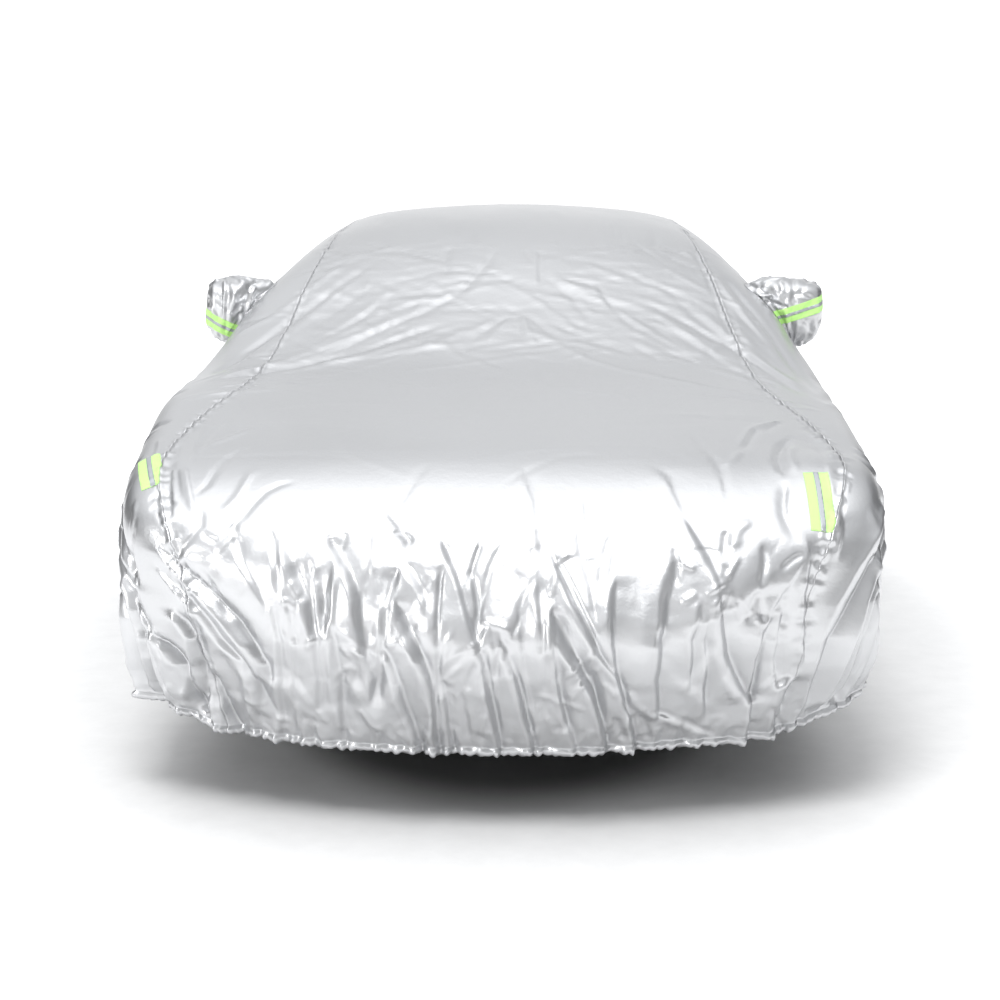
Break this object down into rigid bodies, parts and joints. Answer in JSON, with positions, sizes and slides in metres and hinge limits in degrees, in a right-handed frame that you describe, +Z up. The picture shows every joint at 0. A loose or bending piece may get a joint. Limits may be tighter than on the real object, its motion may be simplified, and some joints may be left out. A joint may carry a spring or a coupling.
{
  "type": "fitted car cover",
  "caption": "Fitted silver cloth cover for a saloon car, hollow and open below, with gathered hem, mirror pockets and reflective tapes.",
  "frame": {"origin": "under the middle of the cover's roof, where the roof of the car holds it up", "axes": "+X to the right seen from the front, +Y from the front hem to the rear one, +Z up"},
  "size_m": [2.0335, 4.6719, 1.2597],
  "materials": {
    "silver_cloth": "satin silver-coated taffeta",
    "yellow_green_tape": "fluorescent woven tape",
    "silver_stripe": "reflective silver tape"
  },
  "bodies": {
    "root": {"top_panel": "silver_cloth", "side_panel_left": "silver_cloth", "side_panel_right": "silver_cloth", "mirror_pocket_left": "silver_cloth", "mirror_pocket_right": "silver_cloth", "corner_tape_left": "yellow_green_tape", "corner_tape_right": "yellow_green_tape", "pocket_tape_left": "yellow_green_tape", "pocket_tape_right": "yellow_green_tape", "corner_stripe_left": "silver_stripe", "corner_stripe_right": "silver_stripe", "pocket_stripe_left": "silver_stripe", "pocket_stripe_right": "silver_stripe"}
  },
  "joints": []
}
